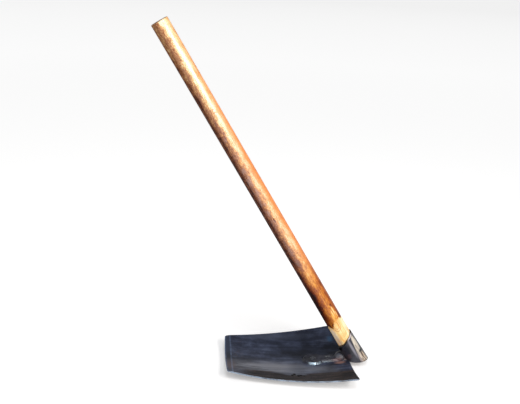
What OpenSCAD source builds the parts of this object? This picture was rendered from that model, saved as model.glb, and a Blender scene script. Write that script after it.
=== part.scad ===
// Digging hoe: a dished steel blade, a forged eye with a tongue riveted along
// the blade, and a wooden handle wedged in the eye. It stands on its blade,
// +Z up, the cutting edge towards -X, with the middle of its box at X0 Y0.

/* [Blade] */
// Length of the blade from its heel to the middle of its cutting edge
blade_len = 279; // [230:1:320]
// Width across the heel corners
heel_w = 257; // [220:1:290]
// Width across the corners of the cutting edge
edge_w = 162; // [130:2:200]
// How far each long side swells out beyond a straight line
side_swell = 6; // [3:0.5:10]
// How far the cutting edge bows out at its middle
edge_bow = 2.2; // [1:0.1:6]
// Thickness of the plate
plate_t = 3; // [2.4:0.1:4.5]
// Radius of the bend along the blade, at its underside
bend_r = 840; // [700:2:1100]
// Radius of the dish across the blade, at its underside
dish_r = 450; // [360:2:600]
// Distance from the heel forward to the lowest point of the blade
low_point = 131; // [100:1:150]
// Radius of the two corners of the cutting edge
edge_corner_r = 7; // [3:0.5:14]
// Radius of the two heel corners
heel_corner_r = 2.5; // [1:0.5:6]

/* [Cutting edge] */
// Width of the bevel ground along the upper face
bevel_w = 14; // [8:0.5:20]
// Thickness left at the cutting edge
edge_t = 0.8; // [0.4:0.1:1.6]

/* [Eye] */
// Lean of the handle, up from the ground
lean = 58.1; // [54:0.1:66]
// Distance from the heel edge back to the handle's axis, at the blade's upper face
eye_back = 17; // [12:0.5:22]
// Height of the eye's mouth along the axis, from the blade's upper face
mouth_h = 55; // [48:1:64]
// Slant of the mouth, higher at the back
mouth_slant = 26; // [16:1:32]
// Radius of the eye's outside at the middle of its mouth
mouth_r = 21.9; // [21.4:0.1:24]
// Growth of the outside's radius for each millimetre down the eye
eye_taper = 0.042; // [0.02:0.002:0.06]
// How far the lower rim hangs below the blade's upper face, under the axis
rim_drop = 1.5; // [0.5:0.1:2.5]
// Slant of the lower rim, higher at the back
rim_slant = 4; // [1:0.5:6]
// Height along the axis at which the bore begins to flare downwards
flare_h = 24; // [18:1:32]
// Growth of the bore's radius for each millimetre down the flare
flare_taper = 0.065; // [0.03:0.005:0.08]

/* [Tongue] */
// Distance from the axis forward to the tip of the tongue
tongue_reach = 121; // [108:1:140]
// Thickness of the tongue
tongue_t = 4.5; // [3:0.1:6]
// Width of the tongue's shank at its foot
shank_w = 30; // [26:1:38]
// Radius of the spade at its foot
spade_r = 25; // [20:0.5:30]
// How far the flanks of the tongue lean in from foot to top
flank_in = 4.5; // [1:0.1:5.5]
// Radius of the swollen throat in front of the eye
throat_r = 15; // [12:0.5:17]
// Distance from the axis forward to the middle of the throat
throat_reach = 34; // [31:0.5:37]
// Depth of the throat's middle below the tongue's upper face
throat_sink = 4; // [2:0.5:6]

/* [Rivets] */
// Radius of a rivet's shank
rivet_r = 4; // [3:0.25:5]
// Radius of a rivet's upper head
head_r = 7; // [6:0.25:8]
// Height of a rivet's upper head
head_h = 1.8; // [1:0.1:3]
// Radius of the sunk head in the underside of the blade
sunk_r = 6.5; // [5.5:0.25:7.5]
// Depth of the sunk head
sunk_h = 1.8; // [1.2:0.1:2.2]
// Distance from the front rivet back to the rear rivet
rivet_step = 34; // [28:1:38]

/* [Handle] */
// Length of the handle's axis, from the blade's upper face to its top end
handle_len = 854; // [700:2:1000]
// Radius of the grip
grip_r = 18.4; // [17:0.1:19]
// Length of the grip's even stretch below the top end
grip_len = 300; // [200:10:360]
// Radius of the handle's lower end, which the eye holds
shank_r = 19; // [18.5:0.1:19.4]
// Height along the axis up to which the handle keeps that radius
shank_h = 124; // [120:1:160]
// Height along the axis at which the shaved stretch ends
shaved_h = 102; // [92:1:106]
// How much higher the shaved stretch ends at the back
shaved_rise = 10; // [0:1:12]
// Rounding of the top end's edge
end_round = 2; // [1:0.25:4]
// Number of flats left by shaving
flats = 6; // [4:1:8]
// Turn of the first flat from the back of the handle
flat_turn = 40; // [0:5:60]
// Depth of a flat from the eye's mouth down
flat_depth = 1.4; // [0.6:0.1:1.6]

/* [Wedges] */
// Depth of the saw cut in the handle's foot
kerf_depth = 52; // [46:1:60]
// Width of the saw cut
kerf_t = 1.2; // [0.8:0.1:2]
// Height of the wooden wedge's thin end along the axis
wedge_depth = 40; // [34:1:44]
// Thickness of the wooden wedge at the blade's level
wedge_t = 6; // [4:0.25:8]
// Width of the wooden wedge
wedge_w = 32; // [26:0.5:33]
// Width of the iron wedge
iron_w = 20; // [14:0.5:24]
// Thickness of the iron wedge at the blade's level
iron_t = 3.4; // [2.4:0.1:4.5]
// Thickness of the iron wedge's thin end
iron_tip = 0.6; // [0.4:0.1:1]
// Height of the iron wedge's thin end along the axis
iron_depth = 26; // [18:1:32]
// How far both wedges stand out of the handle's foot
wedge_proud = 1; // [0.5:0.1:1.2]

/* [Clearances] */
// Gap between the tongue and the blade
seat_gap = 0.1; // [0.05:0.05:0.3]
// Gap between the shank and the eye's bore
bore_gap = 0.1; // [0.05:0.05:0.2]
// Gap round the rivets and the wedges
fit_gap = 0.05; // [0.02:0.01:0.1]
// Height of the handle's sawn foot above the blade's upper face, on the axis
foot_gap = 2.2; // [1.8:0.1:3]

/* [Hidden] */
$fn = 180;
plan_fn = 720;
bend_fn = 1440;

// How far a cutting shape reaches past what it cuts
over = 1;

// Height of a level of the plate at a run from the lowest point, on the middle line
function surface_z(level, run) = bend_r - sqrt((bend_r - level)^2 - run^2);

// The crossing of two circles, to the left of the way from a to b
function crossing(a, ra, b, rb) =
    let (span = norm(b - a), way = (b - a) / span)
    let (along = (ra^2 - rb^2 + span^2) / (2 * span))
    a + along * way + sqrt(ra^2 - along^2) * [-way[1], way[0]];

// The point of a circle that lies straight beyond another point
function outward(mid, r, from) = mid + r * (mid - from) / norm(mid - from);

// Radii of the eye, the bore's flare and the handle's foot, by height on the axis
function eye_r(h) = mouth_r + eye_taper * (mouth_h - h);
function bore_r(h) = shank_r + bore_gap + flare_taper * max(flare_h - h, 0);

// The handle's axis meets the level of the blade's upper face at the heel here
foot_z = surface_z(plate_t, low_point);

// The lowest point of the eye's back, and the reach of the tool to either end
rim_tilt = tan(rim_slant);
rim_cut = sin(lean) * rim_tilt - cos(lean);
rim_h = (eye_r(0) * rim_cut - rim_drop)
        / (sin(lean) + cos(lean) * rim_tilt + eye_taper * rim_cut);
back_reach = eye_r(rim_h) * sin(lean) - rim_h * cos(lean);
top_reach = (handle_len - end_round) * cos(lean) + (grip_r - end_round) * sin(lean)
            + end_round;
front_reach = max(top_reach, eye_back + blade_len);
foot_x = (front_reach - back_reach) / 2;
heel_x = foot_x - eye_back;
low_x = heel_x - low_point;
far = handle_len;

// Plan of the blade: its sides and its cutting edge are arcs
edge_mid = [heel_x - blade_len, 0];
edge_corner = edge_mid + [edge_bow, edge_w / 2];
heel_corner = [heel_x, heel_w / 2];
side_chord = norm(heel_corner - edge_corner);
side_r = (side_chord^2 / 4 + side_swell^2) / (2 * side_swell);
side_way = (heel_corner - edge_corner) / side_chord;
side_mid = (heel_corner + edge_corner) / 2
           - (side_r - side_swell) * [-side_way[1], side_way[0]];
bow_r = (edge_w^2 / 4 + edge_bow^2) / (2 * edge_bow);
bow_mid = edge_mid + [bow_r, 0];

corner_bulge = 1.01;

// Runs of the tongue's features behind the lowest point
foot_run = low_point + eye_back;
spade_run = foot_run - tongue_reach + spade_r;
shank_run = foot_run - (tongue_reach - spade_r) / 2;
throat_run = foot_run - throat_reach;
tongue_foot = plate_t + seat_gap;
tongue_top = tongue_foot + tongue_t;

// The dish is drawn a little wider and deeper than the blade
spare = 12;
sweep = 2 * asin((heel_w / 2 + side_swell + spare) / dish_r);
edge_run = blade_len - low_point;
rise = surface_z(plate_t, max(edge_run, low_point)) + spare;

// Turns a section drawn as distance from the dish's axis, and run, round that axis
module dished() {
    translate([low_x, 0, dish_r])
        rotate([0, 90, 0])
            rotate([0, 0, -sweep / 2])
                rotate_extrude(angle = sweep, $fn = plan_fn)
                    children();
}

module bend_circle(level) {
    translate([dish_r - bend_r, 0])
        circle(r = bend_r - level, $fn = bend_fn);
}

// The section along the blade between two levels above its underside
module bent_section(low, high) {
    intersection() {
        difference() {
            bend_circle(low);
            bend_circle(high);
        }
        translate([dish_r - rise, -edge_run - spare])
            square([rise - low + over, edge_run + foot_run + spare + throat_reach]);
    }
}

// A layer of the bent and dished plate between two levels above its underside
module layer(low, high) {
    dished()
        bent_section(low, high);
}

// Moves to a run on the middle line, +Z square to the plate, Z0 at its underside
module on_blade(run) {
    translate([low_x, 0, bend_r])
        rotate([0, -asin(run / bend_r), 0])
            translate([0, 0, -bend_r])
                children();
}

// Moves to the handle's axis, +Z up the handle and +X to its back
module on_axis() {
    translate([foot_x, 0, foot_z])
        rotate([0, lean - 90, 0])
            children();
}

// Everything below a plane that slants as the rim does, at a height on the axis foot
module below(height) {
    translate([foot_x, 0, foot_z + height])
        rotate([0, -rim_slant, 0])
            translate([-far, -far, -far])
                cube([2 * far, 2 * far, far]);
}

// What grinding takes off a corner: its arc meets both edges at a slight angle
module corner_waste(mid, first, second, r) {
    difference() {
        polygon([mid, mid + 1.5 * (first - mid), mid + 2 * (first + second - 2 * mid),
                 mid + 1.5 * (second - mid)]);
        translate(mid)
            circle(r = corner_bulge * r);
    }
}

module edge_corner_waste() {
    r = edge_corner_r;
    mid = crossing(side_mid, side_r - r, bow_mid, bow_r - r);
    corner_waste(mid, outward(mid, r, side_mid), outward(mid, r, bow_mid), r);
}

module heel_corner_waste() {
    r = heel_corner_r;
    run = heel_x - r - side_mid[0];
    mid = [heel_x - r, side_mid[1] + sqrt((side_r - r)^2 - run^2)];
    corner_waste(mid, mid + [r, 0], outward(mid, r, side_mid), r);
}

module side_arc() {
    translate(side_mid)
        circle(r = side_r, $fn = bend_fn);
}

module blade_plan() {
    difference() {
        intersection() {
            translate([edge_mid[0] - spare, -heel_w])
                square([blade_len + spare, 2 * heel_w]);
            translate(bow_mid)
                circle(r = bow_r, $fn = plan_fn);
            side_arc();
            mirror([0, 1])
                side_arc();
        }
        for (side = [0, 1])
            mirror([0, side]) {
                edge_corner_waste();
                heel_corner_waste();
            }
    }
}

// What grinding takes off the upper face along the cutting edge, in the section
module bevel_waste() {
    inner = [dish_r - surface_z(plate_t, edge_run - bevel_w), bevel_w - edge_run];
    outer = [dish_r - surface_z(edge_t, edge_run), -edge_run];
    way = (outer - inner) / bevel_w;
    start = inner - 2 * way;
    end = outer + 2 * spare * way;
    polygon([start, end, end - [spare, 0], start - [spare, 0]]);
}

// A rivet: a head sunk in the plate, a shank and a low dome on the tongue
module rivet(run) {
    dome_r = (head_r^2 + head_h^2) / (2 * head_h);
    on_blade(run)
        rotate_extrude() {
            polygon([[0, fit_gap], [sunk_r, fit_gap], [rivet_r, fit_gap + sunk_h],
                     [rivet_r, tongue_top], [0, tongue_top]]);
            intersection() {
                translate([0, tongue_top + head_h - dome_r])
                    circle(r = dome_r);
                translate([0, tongue_top])
                    square([head_r, head_h]);
            }
        }
}

// The hole for a rivet, with the seats of both heads
module rivet_hole(run) {
    cone = (sunk_r - rivet_r) / sunk_h;
    on_blade(run)
        rotate_extrude()
            polygon([[0, -over], [sunk_r + 2 * fit_gap + cone * over, -over],
                     [rivet_r + fit_gap, fit_gap + sunk_h + fit_gap / cone],
                     [rivet_r + fit_gap, tongue_top - fit_gap],
                     [head_r + fit_gap, tongue_top - fit_gap],
                     [head_r + fit_gap, tongue_top + head_h], [0, tongue_top + head_h]]);
}

module rivet_holes() {
    rivet_hole(spade_run);
    rivet_hole(spade_run + rivet_step);
}

module blade() {
    color("#3a3d47")
        difference() {
            intersection() {
                dished()
                    difference() {
                        bent_section(0, plate_t);
                        bevel_waste();
                    }
                translate([0, 0, -over])
                    linear_extrude(rise + spare)
                        blade_plan();
            }
            rivet_holes();
        }
}

module rear_rivet() {
    color("#5a5c62")
        rivet(spade_run + rivet_step);
}

module front_rivet() {
    color("#6a6d74")
        rivet(spade_run);
}

module bore() {
    on_axis() {
        cylinder(r = bore_r(flare_h), h = far);
        translate([0, 0, 2 * rim_h])
            cylinder(r1 = bore_r(2 * rim_h), r2 = bore_r(flare_h), h = flare_h - 2 * rim_h);
    }
}

// The space of the blade and below it, and the space below the rim behind its heel
module under_eye() {
    intersection() {
        layer(-bend_r / 8, tongue_foot);
        translate([heel_x + seat_gap - far, -far, -far])
            cube([far, 2 * far, 2 * far]);
    }
    intersection() {
        below(-rim_drop);
        translate([heel_x, -far, -far])
            cube([far, 2 * far, 2 * far]);
    }
}

module eye() {
    on_axis()
        difference() {
            translate([0, 0, 2 * rim_h])
                cylinder(r1 = eye_r(2 * rim_h), r2 = eye_r(2 * mouth_h),
                         h = 2 * mouth_h - 2 * rim_h);
            translate([0, 0, mouth_h])
                rotate([0, -mouth_slant, 0])
                    translate([-far / 2, -far / 2, 0])
                        cube(far);
        }
}

// The tongue's flanks lean in from foot to top
module tongue() {
    slope = flank_in / tongue_t * over;
    reach = tongue_reach - spade_r;
    foot = shank_w / 2 + slope;
    top = shank_w / 2 - flank_in - slope;
    intersection() {
        union() {
            on_blade(spade_run)
                translate([0, 0, tongue_foot - over])
                    cylinder(r1 = spade_r + slope, r2 = spade_r - flank_in - slope,
                             h = tongue_t + 2 * over);
            on_blade(shank_run)
                translate([-reach / 2, 0, tongue_foot - over])
                    rotate([90, 0, 90])
                        linear_extrude(reach)
                            polygon([[-foot, 0], [foot, 0], [top, tongue_t + 2 * over],
                                     [-top, tongue_t + 2 * over]]);
        }
        layer(tongue_foot, tongue_top);
    }
}

module throat() {
    on_blade(throat_run)
        translate([0, 0, tongue_top - throat_sink])
            rotate([0, -45, 0])
                sphere(r = throat_r);
}

module eye_socket() {
    color("#46464f")
        difference() {
            union() {
                eye();
                tongue();
                throat();
            }
            bore();
            under_eye();
            rivet_holes();
        }
}

// What one stroke of the knife takes off, from the shaved stretch's end to the foot
module flat(turn) {
    top = shaved_h + shaved_rise * cos(turn);
    deep = shank_r - flat_depth;
    start = shank_r - flat_depth / 8;
    on_axis()
        rotate([90, 0, turn])
            linear_extrude(2 * shank_r, center = true)
                polygon([[start, top], [deep, mouth_h], [deep, 2 * rim_h],
                         [2 * shank_r, 2 * rim_h], [2 * shank_r, top]]);
}

module pole() {
    sunk = 2 * rim_h;
    on_axis()
        rotate_extrude() {
            polygon([[0, sunk], [bore_r(sunk) - bore_gap, sunk], [shank_r, flare_h],
                     [shank_r, shank_h], [grip_r, handle_len - grip_len],
                     [grip_r, handle_len - end_round],
                     [grip_r - end_round, handle_len - end_round],
                     [grip_r - end_round, handle_len], [0, handle_len]]);
            intersection() {
                translate([grip_r - end_round, handle_len - end_round])
                    circle(r = end_round);
                translate([grip_r - end_round, handle_len - end_round])
                    square(end_round);
            }
        }
}

// A wedge's outline, thick at the blade's level and growing on below it
function wedge_points(t, tip, depth, gap) =
    let (low = 2 * rim_h, thick = t + (t - tip) / depth * -low)
    [[-thick / 2 - gap, low], [thick / 2 + gap, low],
     [tip / 2 + gap, depth + gap], [-tip / 2 - gap, depth + gap]];

module wooden_wedge_form(gap) {
    on_axis()
        rotate([90, 0, 0])
            linear_extrude(wedge_w + 2 * gap, center = true)
                polygon(wedge_points(wedge_t, kerf_t, wedge_depth, gap));
}

module iron_wedge_form(gap) {
    on_axis()
        rotate([90, 0, 90])
            linear_extrude(iron_w + 2 * gap, center = true)
                polygon(wedge_points(iron_t, iron_tip, iron_depth, gap));
}

module kerf() {
    on_axis()
        translate([-kerf_t / 2, -far / 2, 0])
            cube([kerf_t, far, kerf_depth]);
}

module handle() {
    color("#c98a4b")
        difference() {
            pole();
            for (i = [0:flats - 1])
                flat(flat_turn + 360 / flats * i);
            below(foot_gap);
            kerf();
            wooden_wedge_form(fit_gap);
            iron_wedge_form(fit_gap);
        }
}

module wooden_wedge() {
    color("#d9b27c")
        difference() {
            wooden_wedge_form(0);
            below(foot_gap - wedge_proud);
            iron_wedge_form(fit_gap);
        }
}

module iron_wedge() {
    color("#55565b")
        difference() {
            iron_wedge_form(0);
            below(foot_gap - wedge_proud);
        }
}

blade();
eye_socket();
rear_rivet();
front_rivet();
handle();
wooden_wedge();
iron_wedge();
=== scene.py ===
import math
import bpy
from mathutils import Matrix, Vector


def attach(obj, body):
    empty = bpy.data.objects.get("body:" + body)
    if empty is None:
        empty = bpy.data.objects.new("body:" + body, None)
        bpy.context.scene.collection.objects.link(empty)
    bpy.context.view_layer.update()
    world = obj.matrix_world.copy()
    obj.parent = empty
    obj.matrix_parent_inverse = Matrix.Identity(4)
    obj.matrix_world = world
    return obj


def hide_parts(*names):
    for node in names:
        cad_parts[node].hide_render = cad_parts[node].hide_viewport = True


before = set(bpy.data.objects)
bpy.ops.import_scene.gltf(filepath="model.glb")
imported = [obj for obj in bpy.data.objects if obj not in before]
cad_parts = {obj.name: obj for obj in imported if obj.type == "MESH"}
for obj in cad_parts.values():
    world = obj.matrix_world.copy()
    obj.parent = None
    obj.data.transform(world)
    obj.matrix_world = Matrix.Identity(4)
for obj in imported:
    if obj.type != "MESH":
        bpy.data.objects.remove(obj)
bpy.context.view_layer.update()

print("hoe: frame loaded")

mm = 0.001
deg = math.pi / 180
wearSamples = 6
bumpSamples = 4

hoe = {
    "axisFoot": (218.61 * mm, 0.0, 13.32 * mm),  # where the handle's axis meets the level of the blade
    "lean": 58.1 * deg,
    "shankRadius": 19 * mm,
    "heelX": 201.61 * mm,
    "bladeLength": 279 * mm,
    "bevelWidth": 14 * mm,
    "mouthHeight": 55 * mm,
    "mouthSlant": 26 * deg,
    "edgeBowRadius": 1492 * mm,
}


def fromHex(code):
    # sRGB hex to the linear colour that shaders take
    channels = [int(code[i:i + 2], 16) / 255 for i in (1, 3, 5)]
    return tuple(c / 12.92 if c <= 0.04045 else ((c + 0.055) / 1.055) ** 2.4 for c in channels) + (1.0,)


def feed(tree, node, key, value):
    # takes a value, a hex colour, a socket or a node, whose first live output is used
    if isinstance(value, str):
        value = fromHex(value)
    if isinstance(value, bpy.types.Node):
        value = next(s for s in value.outputs if s.enabled)
    if isinstance(value, bpy.types.NodeSocket):
        tree.links.new(value, node.inputs[key])
    else:
        node.inputs[key].default_value = value


def addNode(tree, kind, inputs=None, **settings):
    node = tree.nodes.new(kind)
    for name, value in settings.items():
        setattr(node, name, value)
    for key, value in (inputs or {}).items():
        feed(tree, node, key, value)
    return node


def calc(tree, operation, *values, clamp=False):
    return addNode(tree, "ShaderNodeMath", dict(enumerate(values)), operation=operation, use_clamp=clamp)


def product(tree, first, *others):
    for other in others:
        first = calc(tree, "MULTIPLY", first, other)
    return first


def remap(tree, value, start, end, atStart=0.0, atEnd=1.0, smooth=False):
    # from atStart to atEnd while the value runs from start to end, and level outside them
    return addNode(tree, "ShaderNodeMapRange", {
        "Value": value, "From Min": start, "From Max": end, "To Min": atStart, "To Max": atEnd},
        interpolation_type="SMOOTHSTEP" if smooth else "LINEAR")


def ramp(tree, value, stops):
    # stops: a place with a hex colour or a strength
    node = addNode(tree, "ShaderNodeValToRGB", {0: value})
    bar = node.color_ramp.elements
    while len(bar) < len(stops):
        bar.new(1.0)
    for element, (place, tone) in zip(bar, stops):
        element.position = place
        element.color = fromHex(tone) if isinstance(tone, str) else (tone, tone, tone, 1.0)
    return node


def paint(tree, colour, tone, *masks):
    # lays a tone over a colour where all the masks agree: sockets 6 and 7 of Mix are its two colours
    return addNode(tree, "ShaderNodeMix", {0: product(tree, *masks), 6: colour, 7: tone}, data_type="RGBA")


def noise(tree, place, size, detail=2.0, rough=0.5, twist=0.0):
    return addNode(tree, "ShaderNodeTexNoise", {
        "Vector": place, "Scale": 1 / size, "Detail": detail, "Roughness": rough, "Distortion": twist})


def dimples(tree, place, size, smooth):
    return addNode(tree, "ShaderNodeTexVoronoi", {"Vector": place, "Scale": 1 / size, "Smoothness": smooth},
                   feature="SMOOTH_F1")


def squeeze(tree, place, scale):
    return addNode(tree, "ShaderNodeMapping", {"Vector": place, "Scale": scale})


def axes(tree, vector):
    return addNode(tree, "ShaderNodeSeparateXYZ", {0: vector}).outputs[:3]


def objectPlace(tree):
    return addNode(tree, "ShaderNodeTexCoord").outputs["Object"]


def trueNormal(tree):
    return addNode(tree, "ShaderNodeNewGeometry").outputs["True Normal"]


def patch(tree, position, centre, size, edge):
    # a soft oval mark: 1 inside, 0 outside, its border as wide as this part of its half-size
    moved = addNode(tree, "ShaderNodeMapping", {"Vector": position, "Location": centre, "Scale": size},
                    vector_type="TEXTURE")
    away = addNode(tree, "ShaderNodeVectorMath", {0: moved}, operation="LENGTH").outputs["Value"]
    return remap(tree, away, 1.0, 1.0 - edge, smooth=True)


def spot(tree, place, centre, size, edge):
    # a patch in object coordinates, given in mm
    return patch(tree, place, [c * mm for c in centre], [s * mm for s in size], edge)


def skinSpot(tree, skin, height, degrees, halfLength, halfWidth, edge):
    # a patch on the pole's unrolled skin, in mm, and in degrees round it
    return patch(tree, skin, (height * mm, degrees * deg * hoe["shankRadius"], 0),
                 (halfLength * mm, halfWidth * mm, 1), edge)


def edgeWear(tree, radius, low, high):
    # 1 along sharp edges, where a rounded normal departs from the true one
    soft = addNode(tree, "ShaderNodeBevel", {"Radius": radius}, samples=wearSamples)
    agree = addNode(tree, "ShaderNodeVectorMath", {0: soft, 1: trueNormal(tree)}, operation="DOT_PRODUCT")
    return remap(tree, agree.outputs["Value"], high, low, smooth=True)


def bumps(tree, height, strength, distance, rounding=None):
    # relief in the shading, on edges that look rounded by this radius
    inputs = {"Height": height, "Strength": strength, "Distance": distance}
    if rounding:
        inputs["Normal"] = addNode(tree, "ShaderNodeBevel", {"Radius": rounding}, samples=bumpSamples)
    return addNode(tree, "ShaderNodeBump", inputs)


def newMaterial(name):
    material = bpy.data.materials.new(name)
    material.use_nodes = True
    material.node_tree.nodes.clear()
    return material, material.node_tree


def finishMaterial(tree, shader):
    addNode(tree, "ShaderNodeOutputMaterial", {"Surface": shader})


def setSurface(tree, inputs):
    finishMaterial(tree, addNode(tree, "ShaderNodeBsdfPrincipled", inputs))


def dress(nodeName, material):
    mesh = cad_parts[nodeName].data
    mesh.materials.clear()
    mesh.materials.append(material)
    for face in mesh.polygons:
        face.material_index = 0


def alongHandle(tree):
    # object coordinates turned to the handle: +Z up the pole from the blade's level, +X to its back
    local = addNode(tree, "ShaderNodeMapping", {
        "Vector": objectPlace(tree), "Location": hoe["axisFoot"],
        "Rotation": (0, hoe["lean"] - math.pi / 2, 0)}, vector_type="TEXTURE")
    x, y, height = axes(tree, local)
    return local, x, height, calc(tree, "ARCTAN2", y, x)


def rimLevel(tree, x):
    # how high the eye's slanted mouth is, along the handle
    return calc(tree, "MULTIPLY_ADD", x, math.tan(hoe["mouthSlant"]), hoe["mouthHeight"])


# In the settings below a noise has its size, detail, roughness and distortion, a spot has its centre,
# half-sizes in mm and softness, and a span has its start, its end and what it gives at each.

# blade: carbon steel plate, hot-bent, with its dark forge scale left on and oiled.
# To the eye: blue-black and cloudy, browner where it has rusted, bare where it is ground, with painted
# highlights and a painted reflection on it
blade = {
    "cloud": (42 * mm, 5.0, 0.6),
    "pits": (2.5 * mm, 4.0, 0.7),
    "rustClouds": (14 * mm, 6.0, 0.65, 0.4),
    "streaks": (9 * mm, 5.0, 0.65, 0.5),
    "rolled": (0.08, 1, 1),  # its streaks run along the blade
    "grinding": (0.8 * mm, 2.0),
    "ground": (1, 0.03, 1),  # the bevel's run across it
    "streakWeight": 0.8,
    "pitWeight": 0.5,
    "toneSpan": (0.82, 1.48),
    "scale": [(0.1, "#171b27"), (0.4, "#272c3b"), (0.65, "#3b4256"), (0.95, "#525a6c")],
    "scourSpot": ((14, -38, 8), (128, 40, 60), 0.7),
    "scourSpan": (0.36, 0.6, 0.15, 0.85),
    "scourAndReflectionGrey": "#77787f",
    "dirtBorder": (60 * mm, 10 * mm, 0.0, 7 * mm),
    "dirtDip": ((74, -76, 9), (46, 50, 60), 0.9),
    "dipDepth": -12 * mm,
    "dirtRagged": 34 * mm,
    "dirtSpan": (78 * mm, 86 * mm, 0.0, 0.92),
    "dirtThins": (-45 * mm, -15 * mm, 0.3, 1.0),
    "oilPits": 0.8,
    "oldOil": [(0.74, "#0c0807"), (0.9, "#1f1817"), (1.0, "#3c302b")],
    "rust": "#523626",
    "rustSpan": (0.52, 0.68, 0.0, 0.8),
    "rustyJoint": ((188, -14, 12), (34, 34, 30), 0.8),
    "rustyCorners": (-20 * mm, -75 * mm, 0.0, 0.5),
    "rustSpots": [  # centre, half-sizes, strength, tone
        ((180, -21, 11), (17, 8, 12), 1.7, "#80615a"),
        ((-68, -60, 12), (9, 26, 14), 1.3, "#6a5552"),
    ],
    "rustSoftness": 0.7,
    "chips": [  # dark pits in the grey band's border
        ((66, -76, 9), (4, 6, 9)),
        ((71, -71, 9), (4.5, 7, 9)),
        ((79, -79, 10), (4, 6, 9)),
        ((84.5, -77, 10), (5, 4.5, 9)),
        ((91, -80, 10), (5, 3, 9)),
    ],
    "chipSoftness": 0.5,
    "chipTone": "#0c0807",
    "chipSpecular": (0.0, 1.0, 0.45, 0.03),
    "temperSpot": ((173, 80, 18), (10, 17, 30), 0.9),
    "temperBlue": "#2f5a7c",
    "bevelDark": "#2a2f3c",
    "bevelPale": "#3b4256",
    "shades": [  # the same: darker and lighter patches over the scale, the first a painted dark reflection over the blade's middle
        ((110, 30, 6), (104, 40, 30), 0.75, "#0c0e14"),
        ((-68, -4, 12), (13, 34, 14), 0.75, "#16171e"),
        ((20, 96, 14), (170, 22, 30), 0.45, "#525a6c"),
        ((-68, -45, 14), (18, 42, 14), 0.85, "#514345"),
        ((80, -44, 8), (30, 28, 14), 0.6, "#353c4b"),
        ((126, -42, 8), (36, 22, 14), 0.6, "#62656f"),
    ],
    "shadeSoftness": 0.9,
    "edgeSpan": (3.6 * mm, 1.4 * mm, 0.0, 0.75),
    "borderSpan": (2.4 * mm, 0.8 * mm, 0.0, 0.38),
    "patchySpan": (0.38, 0.6, 0.25, 1.0),
    "groundEdgeHighlight": "#7d90b0",
    "nearHighlightSpan": (-0.5, -0.8, 0.0, 0.8),
    "nearFaceHighlight": "#9fb2c8",
    "wear": (0.9 * mm, 0.9, 0.99),
    "bare": "#a9b2c0",
    "bareMetal": 0.7,
    "roughSpan": (0.0, 1.0, 0.5, 0.32),
    "dirtRough": 0.35,
    "pitRelief": 0.4,
    "bumps": (0.35, 0.6 * mm, 0.5 * mm),
}


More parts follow.
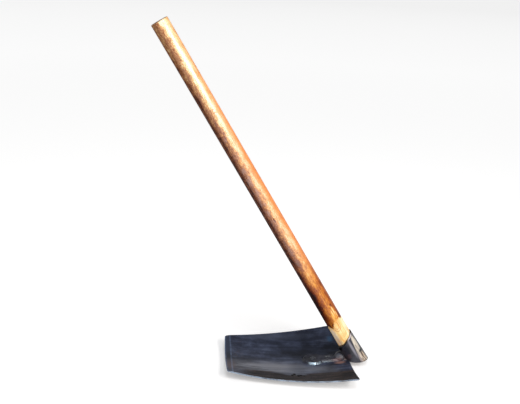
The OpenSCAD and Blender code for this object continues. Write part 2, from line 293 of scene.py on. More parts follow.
def makeBladeSteel():
    material, tree = newMaterial("oiled forge-scaled steel plate")
    place = objectPlace(tree)
    x, y = axes(tree, place)[:2]
    cloud, pits, rustClouds = (noise(tree, place, *blade[name]) for name in ("cloud", "pits", "rustClouds"))
    streaks = noise(tree, squeeze(tree, place, blade["rolled"]), *blade["streaks"])
    tone = calc(tree, "MULTIPLY_ADD", streaks, blade["streakWeight"], cloud)
    tone = calc(tree, "MULTIPLY_ADD", pits, blade["pitWeight"], tone)
    tone = remap(tree, tone, *blade["toneSpan"])
    colour = ramp(tree, tone, blade["scale"])

    # a grey band lengthwise on the near half, partly scoured by soil and partly a painted reflection that
    # lightens that half
    colour = paint(tree, colour, blade["scourAndReflectionGrey"],
                   spot(tree, place, *blade["scourSpot"]), remap(tree, streaks, *blade["scourSpan"]))

    # old brown oil and dirt along the near side, with a ragged border
    border = remap(tree, x, *blade["dirtBorder"])
    border = calc(tree, "MULTIPLY_ADD", spot(tree, place, *blade["dirtDip"]), blade["dipDepth"], border)
    border = calc(tree, "SUBTRACT", border, y)
    border = calc(tree, "MULTIPLY_ADD", streaks, blade["dirtRagged"], border)
    dirt = product(tree, remap(tree, border, *blade["dirtSpan"], smooth=True),
                   remap(tree, x, *blade["dirtThins"]))
    oil = calc(tree, "MULTIPLY_ADD", pits, blade["oilPits"], streaks)
    colour = paint(tree, colour, ramp(tree, oil, blade["oldOil"]), dirt)

    # a breath of rust round the joint and at the corners
    where = calc(tree, "MAXIMUM", spot(tree, place, *blade["rustyJoint"]),
                 remap(tree, x, *blade["rustyCorners"]))
    rust = remap(tree, rustClouds, *blade["rustSpan"], smooth=True)
    colour = paint(tree, colour, blade["rust"], rust, where)
    for centre, size, strength, shade in blade["rustSpots"]:
        mark = spot(tree, place, centre, size, blade["rustSoftness"])
        colour = paint(tree, colour, shade, mark, rustClouds, strength)
    chipped = 0.0
    for centre, size in blade["chips"]:
        chip = spot(tree, place, centre, size, blade["chipSoftness"])
        colour = paint(tree, colour, blade["chipTone"], chip)
        chipped = calc(tree, "MAXIMUM", chipped, chip)

    # heat tint behind the eye
    colour = paint(tree, colour, blade["temperBlue"], spot(tree, place, *blade["temperSpot"]), streaks)

    # the ground bevel: darker in its middle, and bare at the edge and along its inner border, where bright
    # bluish lines are a painted highlight
    edge = hoe["heelX"] - hoe["bladeLength"]
    bow = product(tree, y, y, 0.5 / hoe["edgeBowRadius"])
    fromEdge = calc(tree, "SUBTRACT", calc(tree, "SUBTRACT", x, bow), edge)
    fromBorder = calc(tree, "SUBTRACT", x, edge + hoe["bevelWidth"])
    grinding = noise(tree, squeeze(tree, place, blade["ground"]), *blade["grinding"])
    bevel = paint(tree, blade["bevelDark"], blade["bevelPale"], grinding)
    colour = paint(tree, colour, bevel, calc(tree, "LESS_THAN", fromBorder, 0.0))
    # darker and lighter patches, the first a painted dark reflection over the blade's middle
    for centre, size, strength, shade in blade["shades"]:
        mark = spot(tree, place, centre, size, blade["shadeSoftness"])
        colour = paint(tree, colour, shade, mark, strength)
    patchy = remap(tree, rustClouds, *blade["patchySpan"])
    groundEdgeHighlight = calc(tree, "MAXIMUM", remap(tree, fromEdge, *blade["edgeSpan"], smooth=True),
                 remap(tree, calc(tree, "ABSOLUTE", fromBorder), *blade["borderSpan"], smooth=True))
    groundEdgeHighlight = product(tree, groundEdgeHighlight, patchy)
    colour = paint(tree, colour, blade["groundEdgeHighlight"], groundEdgeHighlight)

    # painted highlight: the near side's cut face is painted bluish white where it faces forward; the edges
    # are rubbed bright
    near = remap(tree, axes(tree, trueNormal(tree))[1], *blade["nearHighlightSpan"])
    colour = paint(tree, colour, blade["nearFaceHighlight"], near, patchy)
    wear = product(tree, edgeWear(tree, *blade["wear"]), patchy)
    colour = paint(tree, colour, blade["bare"], wear)
    bare = product(tree, calc(tree, "MAXIMUM", groundEdgeHighlight, wear, clamp=True), blade["bareMetal"])

    rough = remap(tree, tone, *blade["roughSpan"])
    relief = calc(tree, "MULTIPLY_ADD", pits, blade["pitRelief"], cloud)
    setSurface(tree, {
        "Base Color": colour, "Metallic": bare,
        "Specular IOR Level": remap(tree, chipped, *blade["chipSpecular"]),
        "Roughness": calc(tree, "MULTIPLY_ADD", dirt, blade["dirtRough"], rough),
        "Normal": bumps(tree, relief, *blade["bumps"])})
    return material


# eye and tongue: hand-forged steel, scaled, hammered, rubbed bare down the dressed lap.
# To the eye: near black in its hollows, with a pale stripe that is partly a filed lap and partly a painted
# highlight, a tan rusty foot, filed flanks with a painted glint, and painted shade at the mouth
eye = {
    "dents": (9 * mm, 0.8),
    "pits": (1.6 * mm, 4.0, 0.65),
    "cloud": (16 * mm, 4.0, 0.6),
    "rustClouds": (9 * mm, 6.0, 0.65),
    "filing": (0.9 * mm, 3.0),
    "filed": (1, 1, 0.05),  # streaks run down the eye
    "pitWeight": 0.4,
    "scale": [(0.5, "#15161d"), (0.72, "#272833"), (0.95, "#3d3e48")],
    "rust": "#5e443c",
    "rustSpan": (0.42, 0.6, 0.0, 0.85),
    "rustyJoint": ((186, -12, 14), (22, 20, 14), 0.7),
    "streakSpan": (0.35, 0.6, 0.35, 1.0),
    "lapAndHighlight": "#e6dac8",
    "lapTop": 50 * mm,
    "lapBend": 150.0,  # radians for each square metre of height
    "lapSpot": ((-39 * deg, 30 * mm, 0), (0.36, 40 * mm, 1), 0.35),  # turn, height and softness
    "lapFade": (2 * mm, 30 * mm, 0.35, 1.0),
    "greySheen": "#8d8b96",
    "greySheenSpot": ((-74 * deg, 38 * mm, 0), (0.2, 40 * mm, 1), 0.8),
    "greySheenStrength": 0.8,
    "tanSpot": ((-36 * deg, 0, 0), (0.66, 16 * mm, 1), 0.4),
    "tan": [(0.4, "#2a211d"), (0.5, "#8f7c69"), (0.58, "#cbbcab")],
    "footMarks": [  # turn in degrees, height, half-turn, half-height, strength, tone
        (-41, 8, 8, 12, 0.9, "#4c372c"),
        (-31, 3, 5, 13, 0.7, "#cdb496"),
        (-20, 3, 8, 14, 0.8, "#41322a"),
        (-64, 4, 8, 16, 0.6, "#8c8288"),
        # a painted shade in a notch where the pale stripe ends
        (-34, 17.5, 20, 4.5, 1.0, "#0b0b0f"),
        # a painted dark reflection over the back of the eye
        (4, 25, 34, 60, 1.0, "#15161d"),
    ],
    "throatMarks": [  # centre, half-sizes, strength, tone
        ((118, 0, 6), (24, 15, 8), 1.2, "#101116"),
        ((180, -9, 20), (12, 9, 8), 0.7, "#6b727e"),
        ((174, -13, 13), (18, 6, 6), 0.9, "#75585a"),
        ((201, -20, 27), (7, 6, 9), 1.0, "#6d5659"),
    ],
    "markSoftness": 0.6,
    "black": "#0b0b0f",
    "blackShadeSpot": ((176, -8, 42), (12, 20, 14), 0.5),
    "blackShadeSpecular": (0.0, 1.0, 0.5, 0.05),
    "rim": "#e3d8de",
    "rimSpan": (2.6 * mm, 1.2 * mm),
    "throatTop": 38 * mm,
    "throatStart": -28 * mm,
    "highlightSide": -50 * deg,
    "highlightSpan": (0.86, 0.98, 0.0, 0.9),
    "bright": "#c3dcec",
    "flankSpan": (0.45, 0.62),
    "tongueSpan": (168 * mm, 155 * mm),
    "shankSpan": (125 * mm, 131 * mm),
    "upFlank": (13.2 * mm, 12.4 * mm, 0.45, 1.0),
    "upFade": (140 * mm, 165 * mm, 0.0, 0.5),
    "glintAt": 118 * mm,
    "glintSpan": (9 * mm, 6.5 * mm, 0.1, 1.0),
    "raggedSpan": (0.4, 0.5, 0.3, 1.0),
    "wear": (0.9 * mm, 0.88, 0.985),
    "wornSpan": (184 * mm, 196 * mm, 0.12, 0.6),
    "bare": "#b9bcc4",
    "lapMetal": 0.3,
    "bareMetal": 0.55,
    "roughSpan": (0.4, 1.0, 0.3, 0.5),
    "pitRelief": 0.18,
    "bumps": (0.5, 1.2 * mm, 0.9 * mm),
}


def makeForgedSteel():
    material, tree = newMaterial("hammered forged steel")
    place = objectPlace(tree)
    x, y = axes(tree, place)[:2]
    local, toBack, height, turn = alongHandle(tree)
    pits, cloud, rustClouds = (noise(tree, place, *eye[name]) for name in ("pits", "cloud", "rustClouds"))
    tone = calc(tree, "MULTIPLY_ADD", pits, eye["pitWeight"], cloud)
    colour = ramp(tree, tone, eye["scale"])
    colour = paint(tree, colour, eye["rust"], remap(tree, rustClouds, *eye["rustSpan"], smooth=True),
                   spot(tree, place, *eye["rustyJoint"]))

    # a pale stripe down the eye, partly a lap dressed bare with a file and partly a painted highlight; it
    # bends round the eye as it runs down, as a reflection does
    filing = noise(tree, squeeze(tree, local, eye["filed"]), *eye["filing"])
    around = addNode(tree, "ShaderNodeCombineXYZ", {"X": turn, "Y": height})
    fromTop = calc(tree, "SUBTRACT", height, eye["lapTop"])
    bent = calc(tree, "MULTIPLY_ADD", product(tree, fromTop, fromTop), eye["lapBend"], turn)
    bent = addNode(tree, "ShaderNodeCombineXYZ", {"X": bent, "Y": height})
    streaked = remap(tree, filing, *eye["streakSpan"])
    lapAndHighlight = product(tree, patch(tree, bent, *eye["lapSpot"]), streaked, remap(tree, height, *eye["lapFade"]))
    # painted reflection: a grey band down the eye beside the pale stripe
    colour = paint(tree, colour, eye["greySheen"], patch(tree, around, *eye["greySheenSpot"]), eye["greySheenStrength"])
    colour = paint(tree, colour, ramp(tree, filing, eye["tan"]), patch(tree, around, *eye["tanSpot"]))
    colour = paint(tree, colour, eye["lapAndHighlight"], lapAndHighlight)
    for degrees, level, halfTurn, halfHeight, strength, shade in eye["footMarks"]:
        mark = patch(tree, around, (degrees * deg, level * mm, 0), (halfTurn * deg, halfHeight * mm, 1),
                     eye["markSoftness"])
        colour = paint(tree, colour, shade, mark, strength)

    # the tongue's spade is darker; the throat has a painted bluish grey highlight on its crown, and is pink
    # with rust where it meets the plate
    for centre, size, strength, shade in eye["throatMarks"]:
        mark = spot(tree, place, centre, size, eye["markSoftness"])
        colour = paint(tree, colour, shade, mark, cloud, strength)
    # painted shade: black at the mouth's lower front end, between the wood and the eye
    blackShade = spot(tree, place, *eye["blackShadeSpot"])
    colour = paint(tree, colour, eye["black"], blackShade)

    # the mouth's rim is painted black, a painted shade for the gap round the wood, with a painted highlight
    # on it at the back
    onRim = remap(tree, calc(tree, "SUBTRACT", rimLevel(tree, toBack), height), *eye["rimSpan"], smooth=True)
    for value, low in ((height, eye["throatTop"]), (toBack, eye["throatStart"])):
        onRim = product(tree, onRim, calc(tree, "GREATER_THAN", value, low))
    colour = paint(tree, colour, eye["black"], onRim)
    toHighlight = calc(tree, "COSINE", calc(tree, "SUBTRACT", turn, eye["highlightSide"]))
    mouthHighlight = product(tree, onRim, remap(tree, toHighlight, *eye["highlightSpan"]))
    colour = paint(tree, colour, eye["rim"], mouthHighlight)

    # painted glint: the tongue's sloping flanks are filed bare and painted bluish white near its spade and
    # along its shank, but for the upper part along its shank
    shank = remap(tree, x, *eye["shankSpan"])
    up = remap(tree, calc(tree, "ABSOLUTE", y), *eye["upFlank"])
    up = product(tree, calc(tree, "ADD", up, remap(tree, x, *eye["upFade"]), clamp=True), shank)
    glint = calc(tree, "ABSOLUTE", calc(tree, "SUBTRACT", x, eye["glintAt"]))
    glint = calc(tree, "MAXIMUM", remap(tree, glint, *eye["glintSpan"], smooth=True), shank)
    flankGlint = product(
        tree, remap(tree, calc(tree, "ABSOLUTE", axes(tree, trueNormal(tree))[1]), *eye["flankSpan"]),
        remap(tree, x, *eye["tongueSpan"]), calc(tree, "SUBTRACT", 1.0, up), glint,
        remap(tree, rustClouds, *eye["raggedSpan"]), streaked)
    colour = paint(tree, colour, eye["bright"], flankGlint)

    wear = product(tree, edgeWear(tree, *eye["wear"]), remap(tree, x, *eye["wornSpan"]))
    unworn = calc(tree, "SUBTRACT", onRim, mouthHighlight, clamp=True)
    wear = calc(tree, "SUBTRACT", wear, unworn, clamp=True)
    colour = paint(tree, colour, eye["bare"], wear)
    bare = calc(tree, "MAXIMUM", wear, product(tree, lapAndHighlight, eye["lapMetal"]))
    bare = product(tree, calc(tree, "MAXIMUM", bare, flankGlint), eye["bareMetal"])
    relief = calc(tree, "MULTIPLY_ADD", pits, eye["pitRelief"], dimples(tree, place, *eye["dents"]))
    setSurface(tree, {
        "Base Color": colour, "Metallic": bare, "Roughness": remap(tree, tone, *eye["roughSpan"]),
        "Specular IOR Level": remap(tree, blackShade, *eye["blackShadeSpecular"]),
        "Normal": bumps(tree, relief, *eye["bumps"])})
    return material


# rivets: mild steel, headed over hot, dark with bare high spots
rivet = {
    "pits": (0.9 * mm, 4.0),
    "scale": [(0.38, "#1d1e24"), (0.62, "#3c3e46")],
    "peens": (3 * mm, 0.7),
    "bare": "#8d9198",
    "bareSpan": (0.45, 0.2, 0.0, 0.6),
    "rough": 0.42,
    "bumps": (0.6, 0.6 * mm, 0.5 * mm),
    "count": 2,
    "segments": 56,
    "shankRings": 4,
    "headRings": 26,
    "headStart": (0.1 * mm, 0.8 * mm),
    "dentSmoothness": 0.5,
    "sharpAngle": 35 * deg,
    "weld": 1e-6,
    "seed": 7,
    "sizes": {
        "Underside": 0.05 * mm, "Sunk radius": 6.5 * mm, "Sunk height": 1.8 * mm, "Shank radius": 4 * mm,
        "Tongue top": 7.6 * mm, "Head radius": 7 * mm, "Head height": 1.8 * mm,
        "First run": 52 * mm, "Step": 34 * mm,  # from the blade's lowest point towards the heel
        "Blade low point": 70.613 * mm, "Blade bend radius": 840 * mm,
        "Peen size": 3.2 * mm, "Peen depth": 0.32 * mm},
}


def makeRivets(material):
    # a profile turned round an axis, put in both holes, its heads then dented by the hammer
    tree = bpy.data.node_groups.new("peened rivets", "GeometryNodeTree")
    newSocket = tree.interface.new_socket
    newSocket(name="Geometry", in_out="OUTPUT", socket_type="NodeSocketGeometry")
    sockets = {name: newSocket(name=name, in_out="INPUT", socket_type="NodeSocketFloat").identifier
               for name in rivet["sizes"]}
    seed = newSocket(name="Seed", in_out="INPUT", socket_type="NodeSocketInt").identifier
    given = addNode(tree, "NodeGroupInput").outputs
    shankRings, headRings = rivet["shankRings"], rivet["headRings"]
    grid = addNode(tree, "GeometryNodeMeshGrid", {
        "Size X": 1.0, "Size Y": 1.0,
        "Vertices X": rivet["segments"] + 1, "Vertices Y": shankRings + headRings + 1})
    across, along = axes(tree, addNode(tree, "GeometryNodeInputPosition"))[:2]
    angle = product(tree, across, 2 * math.pi)
    ring = product(tree, calc(tree, "ADD", along, 0.5), float(shankRings + headRings))
    ring = calc(tree, "ROUND", ring)

    # the head is part of a ball, its rings closer towards the crown
    down = calc(tree, "SUBTRACT", ring, float(shankRings))
    down = calc(tree, "DIVIDE", down, float(headRings), clamp=True)
    down = calc(tree, "SUBTRACT", 1.0, down)
    below = product(tree, down, down, given["Head height"])
    crown = calc(tree, "ADD", given["Tongue top"], given["Head height"])
    headZ = calc(tree, "SUBTRACT", crown, below)
    ball = product(tree, given["Head radius"], given["Head radius"])
    ball = calc(tree, "DIVIDE", ball, given["Head height"])
    ball = calc(tree, "ADD", ball, given["Head height"])  # the ball's diameter
    headR = calc(tree, "SQRT", product(tree, calc(tree, "SUBTRACT", ball, below), below))
    sunkTop = calc(tree, "ADD", given["Underside"], given["Sunk height"])
    step = addNode(tree, "FunctionNodeFloatToInt", {0: calc(tree, "MINIMUM", ring, float(shankRings))})
    turned = []
    for levels in ((0.0, given["Sunk radius"], given["Shank radius"], given["Shank radius"], headR),
                   (given["Underside"], given["Underside"], sunkTop, given["Tongue top"], headZ)):
        pick = addNode(tree, "GeometryNodeIndexSwitch", {"Index": step}, data_type="FLOAT")
        while len(pick.index_switch_items) < len(levels):
            pick.index_switch_items.new()
        for slot, level in enumerate(levels):
            feed(tree, pick, slot + 1, level)
        turned.append(pick)
    lathe = addNode(tree, "GeometryNodeSetPosition", {
        "Geometry": grid.outputs["Mesh"],
        "Position": addNode(tree, "ShaderNodeCombineXYZ", {
            "X": product(tree, calc(tree, "COSINE", angle), turned[0]),
            "Y": product(tree, calc(tree, "SINE", angle), turned[0]), "Z": turned[1]})})
    one = addNode(tree, "GeometryNodeMergeByDistance", {"Geometry": lathe, "Distance": rivet["weld"]})

    # the holes stand square to the bent plate
    bendRadius = given["Blade bend radius"]
    index = addNode(tree, "GeometryNodeInputIndex")
    run = calc(tree, "MULTIPLY_ADD", index, given["Step"], given["First run"])
    lean = calc(tree, "ARCSINE", calc(tree, "DIVIDE", run, bendRadius))
    rise = calc(tree, "SUBTRACT", bendRadius, product(tree, calc(tree, "COSINE", lean), bendRadius))
    holes = addNode(tree, "GeometryNodePoints", {
        "Count": rivet["count"], "Position": addNode(tree, "ShaderNodeCombineXYZ", {
            "X": calc(tree, "ADD", run, given["Blade low point"]), "Z": rise})})
    tilt = addNode(tree, "ShaderNodeCombineXYZ", {"Y": product(tree, lean, -1.0)})
    tilt = addNode(tree, "FunctionNodeEulerToRotation", {0: tilt})
    pair = addNode(tree, "GeometryNodeInstanceOnPoints", {"Points": holes, "Instance": one, "Rotation": tilt})
    pair = addNode(tree, "GeometryNodeRealizeInstances", {0: pair})

    # hammer dents, on the heads alone
    bend = addNode(tree, "ShaderNodeCombineXYZ", {"X": given["Blade low point"], "Z": bendRadius})
    height = addNode(tree, "ShaderNodeVectorMath", {
        0: addNode(tree, "GeometryNodeInputPosition"), 1: bend}, operation="DISTANCE").outputs["Value"]
    height = calc(tree, "SUBTRACT", calc(tree, "SUBTRACT", bendRadius, height), given["Tongue top"])
    dents = addNode(tree, "ShaderNodeTexVoronoi", {
        "W": given["Seed"], "Scale": calc(tree, "DIVIDE", 1.0, given["Peen size"]),
        "Smoothness": rivet["dentSmoothness"]}, voronoi_dimensions="4D", feature="SMOOTH_F1")
    depth = product(tree, dents.outputs["Distance"], remap(tree, height, *rivet["headStart"]),
                    given["Peen depth"], -1.0)
    dented = addNode(tree, "ShaderNodeVectorMath", {
        0: addNode(tree, "GeometryNodeInputNormal"), "Scale": depth}, operation="SCALE")
    pair = addNode(tree, "GeometryNodeSetPosition", {"Geometry": pair, "Offset": dented})
    pair = addNode(tree, "GeometryNodeSetMaterial", {"Geometry": pair, "Material": material})
    addNode(tree, "NodeGroupOutput", {0: pair})

    holder = bpy.data.objects.new("rivet maker", bpy.data.meshes.new("rivet maker"))
    bpy.context.scene.collection.objects.link(holder)
    maker = holder.modifiers.new("rivets", "NODES")
    maker.node_group = tree
    for name, identifier in sockets.items():
        maker[identifier] = rivet["sizes"][name]
    maker[seed] = rivet["seed"]
    made = bpy.data.meshes.new_from_object(holder.evaluated_get(bpy.context.evaluated_depsgraph_get()))
    bpy.data.objects.remove(holder)
    made.polygons.foreach_set("use_smooth", [True] * len(made.polygons))
    made.set_sharp_from_angle(angle=rivet["sharpAngle"])
    piece = bpy.data.objects.new("peened_rivets", made)
    bpy.context.scene.collection.objects.link(piece)
    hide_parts("rear_rivet", "front_rivet")
    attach(piece, "root")


def makeRivetSteel():
    material, tree = newMaterial("peened mild steel")
    place = objectPlace(tree)
    peens = dimples(tree, place, *rivet["peens"])
    bare = remap(tree, peens, *rivet["bareSpan"], smooth=True)
    scale = ramp(tree, noise(tree, place, *rivet["pits"]), rivet["scale"])
    setSurface(tree, {
        "Base Color": paint(tree, scale, rivet["bare"], bare), "Metallic": bare,
        "Roughness": rivet["rough"], "Normal": bumps(tree, peens, *rivet["bumps"])})
    return material


# handle: a straight-grained hardwood pole, stained and varnished, with its shank shaved to fit the eye.
# To the eye: honey and orange with brown mottling and a glossy skin, pale and dry where it is freshly cut
pole = {
    "grain": (0.9 * mm, 3.0, 0.6),
    "streak": (4 * mm, 4.0, 0.6, 0.3),
    "grainRun": (1, 1, 0.025),
    "mottle": (8 * mm, 6.0, 0.68),
    "speckle": (1.7 * mm, 3.0, 0.6),
    "cloud": (38 * mm, 2.0),
    "scallops": (12 * mm, 2.0),
    "mottleRun": (1, 1, 0.45),
    "weights": {"mottle": (1.75, 1.4), "speckle": (1.15, 0.6), "streak": (0.6, 0.6), "grain": (0.45, 0.4),
                "cloud": (0.6, 1.7)},  # how much each pattern darkens the stain, above and at the foot
    "calmSpan": (0.1, 0.4, 0.4, 1.0),  # how much of them is left at the back
    "footBusy": 0.85,  # and there at the foot
    "stainedSide": -175 * deg,
    # stain by how far round the pole a point is from its hanging side: 0 at the back, 1 under
    "soak": [(0.0, 0.42), (0.1, 0.27), (0.2, 0.14), (0.32, 0.09), (0.42, 0.14), (0.5, 0.28), (0.6, 0.53),
             (0.7, 0.6), (0.8, 0.74), (0.9, 0.86), (1.0, 0.95)],
    "footSoak": (0.56, 0.4, 0.0, 0.22),
    "knots": [  # height, turn in degrees, half-length, half-width, how much darker
        (388, -91, 9, 2.2, 0.5),
        (499, -12, 7, 4, 0.35),
        (300, -3, 6, 4, 0.4),
        (267, -51, 8, 5, 0.22),
        (152, -52, 6, 3.5, 0.45),
        (106, -106, 6, 4, 0.5),
        (122, -24, 20, 7, 0.4),
        (118, -100, 16, 7, 0.3),
        (757, -144, 7, 4, 0.6),
        (774, -148, 9, 3, 0.4),
        (793, -147, 8, 3, 0.3),
    ],
    "paleStreaks": [(850, -142, 150, 10, -0.38), (492, -131, 6, 4, -0.25)],  # the same, paler
    "knotSoftness": 0.8,
    "levels": (0.0, 0.2, 0.4, 0.6, 0.8, 1.0),  # of the stain, for these three rows of tones
    "gold": ["#ecdfc2", "#edcd96", "#d6a06a", "#a46d47", "#935426", "#4e1f08"],  # the upper third
    "red": ["#eccba0", "#e6a568", "#c0855a", "#9a6448", "#773814", "#3c1202"],  # the middle
    "deep": ["#eaaa4c", "#d08632", "#ae5e18", "#853a04", "#571907", "#290b04"],  # towards the eye
    "redSpan": (720 * mm, 520 * mm),
    "deepSpan": (330 * mm, 190 * mm),
    "backOrange": "#e47d35",
    "backSpan": (0.3, 0.1, 0.0, 0.62),
    "backUnder": (850 * mm, 640 * mm),
    "backFoot": (0.0, 1.0, 1.0, 0.2),
    "underSpan": (0.5, 0.85),
    "underDark": 0.46,
    "blackShade": "#000000",
    "flecks": [(138, -55, 15, 2.3), (133, -70, 13, 1.3), (126, -44, 10, 1.3)],  # where the stain chipped
    "fleckTone": "#ffdd9a",
    "fleckSoftness": 0.6,
    "fleckStrength": 0.8,
    "sheenGrey": "#c8a190",
    "sheenSpot": (480, -104, 330, 8, 0.7),
    "sheenCloud": 0.8,
    "sheenSpan": (0.92, 1.05, 0.0, 0.42),
    "shavedSide": -35 * deg,
    "shavedClimb": 11 * mm,
    "shavedLevel": 82 * mm,
    "shavedRagged": 40 * mm,
    "shavedSpan": (2.5 * mm, -1.5 * mm),
    "shaved": [(0.55, "#eeb76c"), (0.8, "#ffdd9a"), (1.0, "#fff3c8")],
    "shavedStreak": 1.2,
    "shavedShift": 0.3,
    "tawny": "#f0ac55",
    "tawnySpan": (-22 * mm, -2 * mm, 0.0, 0.8),
    "blotSpan": (30 * mm, 6 * mm),  # over the mouth
    "blots": (0.42, 0.6, 0.0, 0.8),
    "ringTone": "#c06f2a",
    "ringsAt": (103 * mm, -91 * deg * hoe["shankRadius"], 0),  # a cut knot's growth lines
    "ringsSize": (16 * mm, 9.5 * mm, 1),
    "rings": [(0.24, 0.0), (0.3, 0.7), (0.35, 0.15), (0.44, 0.1), (0.49, 0.75), (0.55, 0.0)],
    "ringSpeckle": (0.4, 0.55, 0.6, 1.0),
    "cream": "#fff4d0",
    "creamSpot": (76, -24, 60, 9, 0.6),
    "creamStrength": 0.85,
    "planed": "#ffe8cc",
    "planedSpot": (60, -141, 44, 9, 0.3),
    "mouthShade": "#2b1d14",
    "mouthShadeSpan": (2.3 * mm, 0.6 * mm, 0.0, 0.85),
    "pith": (4 * mm, -3 * mm, 0),
    "squeezeFlat": (1, 1, 0),
    "yearRings": {"Scale": 1 / (10.71 * mm), "Distortion": 1.2, "Detail": 2.0, "Detail Scale": 2.0},
    "endGrain": [(0.2, "#6d4f45"), (0.8, "#b08a6c")],
    "squareCut": 0.8,
    "roughSpan": (0.3, 0.7, 0.26, 0.42),
    "dryRough": 0.35,
    "underRough": 0.3,
    "glossSpan": (0.4, 0.56, 0.3, 1.0),
    "glossBack": (0.12, 0.28),
    "glossFoot": (0.0, 1.0, 1.0, 0.55),
    "glossTop": (845 * mm, 770 * mm, 0.45, 1.0),
    "mottleRelief": 0.6,
    "bumps": (0.4, 0.5 * mm, 0.6 * mm),
    "specular": 0.15,
    "varnish": {"Coat Roughness": 0.26, "Coat IOR": 1.75},
}


def makePoleWood():
    material, tree = newMaterial("varnished hardwood pole")
    local, toBack, height, turn = alongHandle(tree)
    skin = addNode(tree, "ShaderNodeCombineXYZ", {"X": height, "Y": product(tree, turn, hoe["shankRadius"])})
    grainPlace, mottlePlace = (squeeze(tree, local, pole[run]) for run in ("grainRun", "mottleRun"))
    wood = {name: noise(tree, where, *pole[name]) for where, names in (
        (grainPlace, ("grain", "streak")),
        (mottlePlace, ("mottle", "speckle", "cloud", "scallops"))) for name in names}

    # the side that hangs under took more stain: it is darkest there and fades round the pole
    facing = calc(tree, "COSINE", calc(tree, "SUBTRACT", turn, pole["stainedSide"]))
    facing = calc(tree, "MULTIPLY_ADD", facing, 0.5, 0.5)
    stain = ramp(tree, facing, pole["soak"])
    low = remap(tree, height, *pole["deepSpan"], smooth=True)
    patterns = 0.0
    for name, (above, atFoot) in pole["weights"].items():
        centred = calc(tree, "SUBTRACT", wood[name], 0.5)
        patterns = calc(tree, "MULTIPLY_ADD", centred, remap(tree, low, 0.0, 1.0, above, atFoot), patterns)
    busy = calc(tree, "MAXIMUM", remap(tree, facing, *pole["calmSpan"]), product(tree, low, pole["footBusy"]))
    stain = calc(tree, "MULTIPLY_ADD", patterns, busy, stain)
    stain = calc(tree, "MULTIPLY_ADD", remap(tree, facing, *pole["footSoak"]), low, stain)
    for *mark, depth in pole["knots"] + pole["paleStreaks"]:
        mark = skinSpot(tree, skin, *mark, pole["knotSoftness"])
        stain = calc(tree, "MULTIPLY_ADD", mark, depth, stain)
    gold, red, deep = (ramp(tree, stain, list(zip(pole["levels"], pole[tones])))
                       for tones in ("gold", "red", "deep"))
    stained = paint(tree, gold, red, remap(tree, height, *pole["redSpan"]))
    stained = paint(tree, stained, deep, low)
    stained = paint(tree, stained, pole["backOrange"], remap(tree, facing, *pole["backSpan"]),
                    remap(tree, height, *pole["backUnder"]), remap(tree, low, *pole["backFoot"]))
    # the underside is darker: partly stain, partly painted shade
    under = remap(tree, facing, *pole["underSpan"])
    stained = paint(tree, stained, pole["blackShade"], under, pole["underDark"])
    for fleck in pole["flecks"]:
        stained = paint(tree, stained, pole["fleckTone"],
                        skinSpot(tree, skin, *fleck, pole["fleckSoftness"]), pole["fleckStrength"])

    # painted sheen: greyish pink streaks along the near side stand for the varnish's soft reflection
    sheenStreaks = calc(tree, "MULTIPLY_ADD", wood["cloud"], pole["sheenCloud"], wood["mottle"])
    stained = paint(tree, stained, pole["sheenGrey"], skinSpot(tree, skin, *pole["sheenSpot"]),
                    remap(tree, sheenStreaks, *pole["sheenSpan"]))

    # shaved stretch: its border climbs towards the back and is ragged
    border = calc(tree, "COSINE", calc(tree, "SUBTRACT", turn, pole["shavedSide"]))
    border = calc(tree, "MULTIPLY_ADD", border, pole["shavedClimb"], pole["shavedLevel"])
    border = calc(tree, "MULTIPLY_ADD", wood["scallops"], pole["shavedRagged"], border)
    above = calc(tree, "SUBTRACT", height, border)
    fresh = remap(tree, above, *pole["shavedSpan"], smooth=True)
    tone = calc(tree, "MULTIPLY_ADD", wood["streak"], pole["shavedStreak"], wood["grain"])
    shaved = ramp(tree, calc(tree, "SUBTRACT", tone, pole["shavedShift"]), pole["shaved"])
    shaved = paint(tree, shaved, pole["tawny"], remap(tree, above, *pole["tawnySpan"]), wood["mottle"])
    growth = addNode(tree, "ShaderNodeMapping", {
        "Vector": skin, "Location": pole["ringsAt"], "Scale": pole["ringsSize"]}, vector_type="TEXTURE")
    growth = addNode(tree, "ShaderNodeVectorMath", {0: growth}, operation="LENGTH").outputs["Value"]
    growth = ramp(tree, product(tree, growth, 0.5), pole["rings"])
    shaved = paint(tree, shaved, pole["ringTone"], growth,
                   remap(tree, wood["speckle"], *pole["ringSpeckle"]))
    shaved = paint(tree, shaved, pole["cream"],
                   skinSpot(tree, skin, *pole["creamSpot"]), pole["creamStrength"])
    shaved = paint(tree, shaved, pole["planed"], skinSpot(tree, skin, *pole["planedSpot"]))
    overRim = calc(tree, "SUBTRACT", height, rimLevel(tree, toBack))
    shaved = paint(tree, shaved, pole["tawny"], remap(tree, overRim, *pole["blotSpan"]),
                   remap(tree, wood["mottle"], *pole["blots"]))
    # painted shade: a dark line on the wood along the eye's mouth, for the gap's shadow
    shaved = paint(tree, shaved, pole["mouthShade"], remap(tree, overRim, *pole["mouthShadeSpan"], smooth=True))
    colour = paint(tree, stained, shaved, fresh)

    # end grain: growth rings round a pith that is off the middle
    flatPlace = addNode(tree, "ShaderNodeMapping", {
        "Vector": local, "Location": pole["pith"], "Scale": pole["squeezeFlat"]})
    rings = addNode(tree, "ShaderNodeTexWave", {"Vector": flatPlace, **pole["yearRings"]},
                    wave_type="RINGS", rings_direction="Z")
    upPole = (-math.cos(hoe["lean"]), 0, math.sin(hoe["lean"]))
    sawn = addNode(tree, "ShaderNodeVectorMath", {0: trueNormal(tree), 1: upPole},
                   operation="DOT_PRODUCT").outputs["Value"]
    sawn = calc(tree, "GREATER_THAN", calc(tree, "ABSOLUTE", sawn), pole["squareCut"])
    colour = paint(tree, colour, ramp(tree, rings, pole["endGrain"]), sawn)

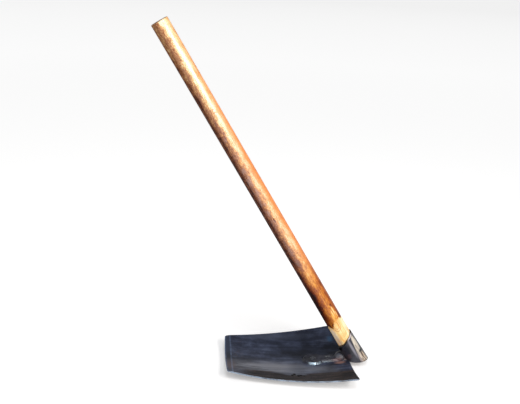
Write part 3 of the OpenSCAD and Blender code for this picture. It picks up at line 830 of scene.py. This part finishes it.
    # the varnish is whole above, and worn off under, at the back and where the wood is cut
    dry = calc(tree, "MAXIMUM", fresh, sawn)
    rough = remap(tree, wood["mottle"], *pole["roughSpan"])
    rough = calc(tree, "MULTIPLY_ADD", dry, pole["dryRough"], rough)
    rough = calc(tree, "MULTIPLY_ADD", under, pole["underRough"], rough, clamp=True)
    dry = calc(tree, "ADD", under, dry, clamp=True)
    gloss = product(
        tree, calc(tree, "SUBTRACT", 1.0, dry), remap(tree, wood["mottle"], *pole["glossSpan"]),
        remap(tree, facing, *pole["glossBack"]), remap(tree, low, *pole["glossFoot"]),
        remap(tree, height, *pole["glossTop"]))
    relief = calc(tree, "MULTIPLY_ADD", wood["mottle"], pole["mottleRelief"], wood["grain"])
    setSurface(tree, {
        "Base Color": colour, "Roughness": rough, "Specular IOR Level": pole["specular"],
        "Coat Weight": gloss, **pole["varnish"], "Normal": bumps(tree, relief, *pole["bumps"])})
    return material


# wooden wedge: split beech, bare, hammered at its end. Iron wedge: wrought bar end, dark, rusting
wedge = {
    "grain": (0.7 * mm, 4.0),
    "grainRun": (1, 1, 0.06),
    "wood": [(0.35, "#b98d5a"), (0.65, "#dcb982")],
    "crushed": "#8b6844",
    "wear": (0.6 * mm, 0.85, 0.98),
    "woodBumps": (0.4, 0.3 * mm),
    "woodRough": 0.7,
    "pits": (1.2 * mm, 5.0),
    "iron": [(0.35, "#2b2a2c"), (0.55, "#55514f"), (0.7, "#6d4230")],
    "ironBumps": (0.5, 0.3 * mm),
    "ironRough": 0.55,
    "ironMetal": 0.3,
}


def makeWedgeWood():
    material, tree = newMaterial("bare split beech")
    grain = noise(tree, squeeze(tree, alongHandle(tree)[0], wedge["grainRun"]), *wedge["grain"])
    colour = paint(tree, ramp(tree, grain, wedge["wood"]), wedge["crushed"], edgeWear(tree, *wedge["wear"]))
    setSurface(tree, {
        "Base Color": colour, "Roughness": wedge["woodRough"],
        "Normal": bumps(tree, grain, *wedge["woodBumps"])})
    return material


def makeWedgeIron():
    material, tree = newMaterial("rusting wrought iron")
    pits = noise(tree, objectPlace(tree), *wedge["pits"])
    setSurface(tree, {
        "Base Color": ramp(tree, pits, wedge["iron"]), "Metallic": wedge["ironMetal"],
        "Roughness": wedge["ironRough"], "Normal": bumps(tree, pits, *wedge["ironBumps"])})
    return material


rivetSteel = makeRivetSteel()
for nodeName, material in (
        ("blade", makeBladeSteel()), ("eye_socket", makeForgedSteel()), ("rear_rivet", rivetSteel),
        ("front_rivet", rivetSteel), ("handle", makePoleWood()), ("wooden_wedge", makeWedgeWood()),
        ("iron_wedge", makeWedgeIron())):
    dress(nodeName, material)
makeRivets(rivetSteel)
print("hoe: blade, eye, rivets, handle and wedges have their finishes")


# stage: a pale floor that runs far back, a white room that is dark overhead, and three soft lamps
stage = {
    "floor": "#e6e6e6",
    "floorSize": 160.0,
    "glowCentre": (0.1, -0.3, 0.0),
    "glow": [(0.05, 0.5), (0.18, 0.4), (0.27, 0.31), (0.6, 0.46), (1.0, 0.57), (1.7, 0.62), (6.0, 0.66),
             (20.0, 0.58)],  # metres away, strength
    "glowReach": 24.0,
    "room": [(13, "#f9f9f9"), (27, "#171a24"), (37, "#10131b"), (50, "#27304a")],  # degrees up, in gloss
    "roomSides": (-1.0, 1.0, 0.34, 0.41),  # its light from the left to the right
    "lamps": [  # name, place, aim, size, roll, power, tone
        ("glare", (0.86, -1.14, 1.15), (-0.18, 0.0, 0.66), (1.0, 0.42), 42 * deg, 20.0, "#fffaf6"),
        ("top", (0.1, -1.0, 1.75), (0.1, 0.0, 0.1), (0.9, 0.6), 0.0, 11.0, "#f6faff"),
        ("fill", (-1.5, -1.1, 0.3), (0.17, 0.0, 0.12), (0.9, 0.7), 0.0, 9.0, "#fff6ee"),
    ],
}


def seenDirectly(tree):
    # 1 for what the camera sees, by itself, in gloss or through glass
    rays = addNode(tree, "ShaderNodeLightPath").outputs
    seen = calc(tree, "MAXIMUM", rays["Is Camera Ray"], rays["Is Glossy Ray"])
    return calc(tree, "MAXIMUM", seen, rays["Is Transmission Ray"])


floorMesh = bpy.data.meshes.new("floor")
half = stage["floorSize"] / 2
corners = [(-half, -half, 0), (half, -half, 0), (half, half, 0), (-half, half, 0)]
floorMesh.from_pydata(corners, [], [(0, 1, 2, 3)])
floor = bpy.data.objects.new("floor", floorMesh)
bpy.context.scene.collection.objects.link(floor)
floorPaper, tree = newMaterial("matt white studio paper")
away = addNode(tree, "ShaderNodeVectorMath", {0: objectPlace(tree), 1: stage["glowCentre"]},
               operation="DISTANCE").outputs["Value"]
glow = ramp(tree, calc(tree, "DIVIDE", away, stage["glowReach"]), [
    (metres / stage["glowReach"], strength) for metres, strength in stage["glow"]])
paper = addNode(tree, "ShaderNodeBsdfDiffuse", {"Color": stage["floor"]})
lift = addNode(tree, "ShaderNodeEmission", {
    "Color": (1, 1, 1, 1), "Strength": product(tree, seenDirectly(tree), glow)})
finishMaterial(tree, addNode(tree, "ShaderNodeAddShader", {0: paper, 1: lift}))
floorMesh.materials.append(floorPaper)

world = bpy.data.worlds.new("white room")
world.use_nodes = True
tree = world.node_tree
tree.nodes.clear()
sideways, _, upward = axes(tree, addNode(tree, "ShaderNodeTexCoord").outputs["Generated"])
walls = ramp(tree, upward, [(math.sin(degrees * deg), tone) for degrees, tone in stage["room"]])
level = remap(tree, sideways, *stage["roomSides"])
light = addNode(tree, "ShaderNodeCombineColor", {0: level, 1: level, 2: level})
backdrop = addNode(tree, "ShaderNodeBackground", {
    "Color": paint(tree, light, walls, seenDirectly(tree)), "Strength": 1.0})
addNode(tree, "ShaderNodeOutputWorld", {"Surface": backdrop})
bpy.context.scene.world = world

for name, place, aim, size, roll, power, tone in stage["lamps"]:
    lamp = bpy.data.lights.new(name + " softbox", "AREA")
    lamp.shape = "RECTANGLE"
    lamp.size, lamp.size_y = size
    lamp.energy = power
    lamp.color = fromHex(tone)[:3]
    holder = bpy.data.objects.new(name + " softbox", lamp)
    aimed = (Vector(aim) - Vector(place)).to_track_quat("-Z", "Y").to_matrix().to_4x4()
    holder.matrix_world = Matrix.Translation(place) @ aimed @ Matrix.Rotation(roll, 4, "Z")
    bpy.context.scene.collection.objects.link(holder)
print("hoe: stage and lamps are set")

# camera: from the photograph's side, a little to the left, looking down
view = {
    "place": (-160.1 * mm, -1518.7 * mm, 850.9 * mm),
    "azimuth": -5.367 * deg,
    "elevation": 17.29 * deg,
    "roll": 3.11 * deg,
    "lens": 52.59,
    "sensor": 36.0,
    "reach": 100.0,
}
cameraData = bpy.data.cameras.new("camera")
cameraData.sensor_width = view["sensor"]
cameraData.lens = view["lens"]
cameraData.clip_end = view["reach"]
camera = bpy.data.objects.new("camera", cameraData)
camera.matrix_world = (Matrix.Translation(view["place"]) @ Matrix.Rotation(view["azimuth"], 4, "Z")
                       @ Matrix.Rotation(math.pi / 2 - view["elevation"], 4, "X")
                       @ Matrix.Rotation(view["roll"], 4, "Z"))
bpy.context.scene.collection.objects.link(camera)
bpy.context.scene.camera = camera
bpy.context.scene.view_settings.view_transform = "Standard"
print("hoe: camera is set")
